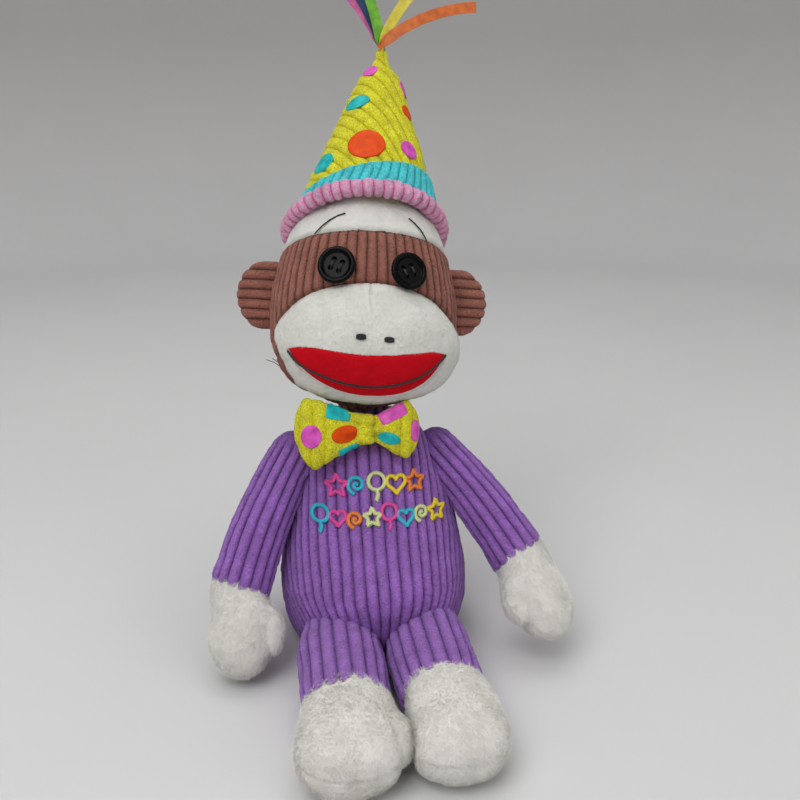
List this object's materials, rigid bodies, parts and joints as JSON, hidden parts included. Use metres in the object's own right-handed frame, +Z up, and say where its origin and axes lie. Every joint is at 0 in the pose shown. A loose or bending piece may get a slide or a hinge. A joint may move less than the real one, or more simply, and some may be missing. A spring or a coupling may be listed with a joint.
{
  "type": "plush toy monkey",
  "caption": "Seated plush monkey in a ribbed suit with white mittens and feet, button eyes, wide felt smile, bow tie and pointed party hat with ribbons.",
  "frame": {"origin": "on the supporting surface under the middle of the seat", "axes": "+Z up, the monkey faces -Y, its own left is +X"},
  "size_m": [0.1983, 0.2561, 0.3754],
  "materials": {
    "purple_rib": "matte",
    "brown_rib": "matte",
    "white_plush": "matte",
    "yellow_rib": "matte",
    "blue_rib": "matte",
    "pink_rib": "matte",
    "red_felt": "matte",
    "stuffing_fibre": "matte",
    "calico": "matte",
    "ribbon_orange": "satin",
    "ribbon_yellow": "satin",
    "ribbon_green": "satin",
    "ribbon_navy": "satin",
    "ribbon_pink": "satin",
    "black_thread": "matte",
    "black_plastic": "gloss"
  },
  "bodies": {
    "torso": {"torso_front_panel": "purple_rib", "torso_back_panel": "purple_rib", "torso_stuffing": "stuffing_fibre", "seat_pellet_pouch": "calico", "bow_tie_right_loop": "yellow_rib", "bow_tie_left_loop": "yellow_rib", "bow_tie_knot": "yellow_rib"},
    "neck": {"neck_tube": "brown_rib"},
    "head": {"forehead_panel": "white_plush", "face_band": "brown_rib", "head_back_panel": "brown_rib", "muzzle_panel": "white_plush", "mouth_patch": "red_felt", "head_stuffing": "stuffing_fibre", "right_eye_button": "black_plastic", "right_eye_thread": "black_thread", "left_eye_button": "black_plastic", "left_eye_thread": "black_thread", "hat_cone": "yellow_rib", "hat_band": "blue_rib", "hat_brim_roll": "pink_rib", "hat_stuffing": "stuffing_fibre"},
    "right_ear": {"right_ear": "brown_rib"},
    "right_arm": {"right_sleeve": "purple_rib", "right_arm_stuffing": "stuffing_fibre"},
    "right_hand": {"right_hand": "white_plush", "right_hand_stuffing": "stuffing_fibre"},
    "right_leg": {"right_trouser_leg": "purple_rib", "right_leg_stuffing": "stuffing_fibre"},
    "right_foot": {"right_foot": "white_plush", "right_foot_stuffing": "stuffing_fibre"},
    "left_ear": {"left_ear": "brown_rib"},
    "left_arm": {"left_sleeve": "purple_rib", "left_arm_stuffing": "stuffing_fibre"},
    "left_hand": {"left_hand": "white_plush", "left_hand_stuffing": "stuffing_fibre"},
    "left_leg": {"left_trouser_leg": "purple_rib", "left_leg_stuffing": "stuffing_fibre"},
    "left_foot": {"left_foot": "white_plush", "left_foot_stuffing": "stuffing_fibre"},
    "orange_ribbon": {"orange_ribbon": "ribbon_orange"},
    "yellow_ribbon": {"yellow_ribbon": "ribbon_yellow"},
    "green_ribbon": {"green_ribbon": "ribbon_green"},
    "navy_ribbon": {"navy_ribbon": "ribbon_navy"},
    "pink_ribbon": {"pink_ribbon": "ribbon_pink"}
  },
  "joints": [
    {"name": "neck_nod", "type": "hinge", "parent": "torso", "child": "neck", "pos_m": [-0.003, 0.03145, 0.12614], "axis": [1, 0, 0], "range_deg": [-14, 3], "stiffness_Nm_per_rad": 2},
    {"name": "neck_turn", "type": "hinge", "parent": "neck", "child": "head", "pos_m": [-0.003, 0.03145, 0.12614], "axis": [0.0698, 0.3412, 0.9374], "range_deg": [-20, 20], "stiffness_Nm_per_rad": 0.4},
    {"name": "left_ear_fold", "type": "hinge", "parent": "head", "child": "left_ear", "pos_m": [0.04893, 0.05291, 0.17634], "axis": [0.0698, 0.3412, 0.9374], "range_deg": [-22, 22], "stiffness_Nm_per_rad": 0.02},
    {"name": "right_ear_fold", "type": "hinge", "parent": "head", "child": "right_ear", "pos_m": [-0.04684, 0.0552, 0.18263], "axis": [0.0698, 0.3412, 0.9374], "range_deg": [-22, 22], "stiffness_Nm_per_rad": 0.02},
    {"name": "right_shoulder_raise", "type": "hinge", "parent": "torso", "child": "right_arm", "pos_m": [-0.042, 0.019, 0.101], "axis": [-0.7421, 0.6703, 0], "range_deg": [0, 80]},
    {"name": "right_wrist_bend", "type": "hinge", "parent": "right_arm", "child": "right_hand", "pos_m": [-0.07153, -0.01369, 0.04405], "axis": [-0.6124, -0.5056, 0.6078], "range_deg": [-38, 5], "stiffness_Nm_per_rad": 0.05},
    {"name": "left_shoulder_raise", "type": "hinge", "parent": "torso", "child": "left_arm", "pos_m": [0.038, 0.023, 0.098], "axis": [-0.6877, -0.726, 0], "range_deg": [0, 80]},
    {"name": "left_wrist_bend", "type": "hinge", "parent": "left_arm", "child": "left_hand", "pos_m": [0.07689, -0.01384, 0.0499], "axis": [-0.6064, 0.3138, -0.7306], "range_deg": [-38, 5], "stiffness_Nm_per_rad": 0.05},
    {"name": "right_hip_raise", "type": "hinge", "parent": "torso", "child": "right_leg", "pos_m": [-0.023, -0.031, 0.0176], "axis": [-0.9986, 0.0523, 0], "range_deg": [-35, 25]},
    {"name": "right_ankle_bend", "type": "hinge", "parent": "right_leg", "child": "right_foot", "pos_m": [-0.02624, -0.09292, 0.0176], "axis": [-0.9986, 0.0523, 0], "range_deg": [-22, 22], "stiffness_Nm_per_rad": 0.06},
    {"name": "left_hip_raise", "type": "hinge", "parent": "torso", "child": "left_leg", "pos_m": [0.022, -0.028, 0.0176], "axis": [-1, -0.0087, 0], "range_deg": [-35, 25]},
    {"name": "left_ankle_bend", "type": "hinge", "parent": "left_leg", "child": "left_foot", "pos_m": [0.02254, -0.09, 0.0176], "axis": [-1, -0.0087, 0], "range_deg": [-22, 22], "stiffness_Nm_per_rad": 0.06},
    {"name": "orange_ribbon_sway", "type": "hinge", "parent": "head", "child": "orange_ribbon", "pos_m": [0.01914, 0.10817, 0.31613], "axis": [0, 1, 0], "range_deg": [-15, 15], "stiffness_Nm_per_rad": 0.0006},
    {"name": "yellow_ribbon_sway", "type": "hinge", "parent": "head", "child": "yellow_ribbon", "pos_m": [0.01914, 0.10907, 0.31613], "axis": [0, 1, 0], "range_deg": [-15, 15], "stiffness_Nm_per_rad": 0.0006},
    {"name": "green_ribbon_sway", "type": "hinge", "parent": "head", "child": "green_ribbon", "pos_m": [0.01914, 0.10997, 0.31613], "axis": [0, 1, 0], "range_deg": [-15, 15], "stiffness_Nm_per_rad": 0.0006},
    {"name": "navy_ribbon_sway", "type": "hinge", "parent": "head", "child": "navy_ribbon", "pos_m": [0.01914, 0.11087, 0.31613], "axis": [0, 1, 0], "range_deg": [-15, 15], "stiffness_Nm_per_rad": 0.0006},
    {"name": "pink_ribbon_sway", "type": "hinge", "parent": "head", "child": "pink_ribbon", "pos_m": [0.01914, 0.11177, 0.31613], "axis": [0, 1, 0], "range_deg": [-15, 15], "stiffness_Nm_per_rad": 0.0006}
  ]
}
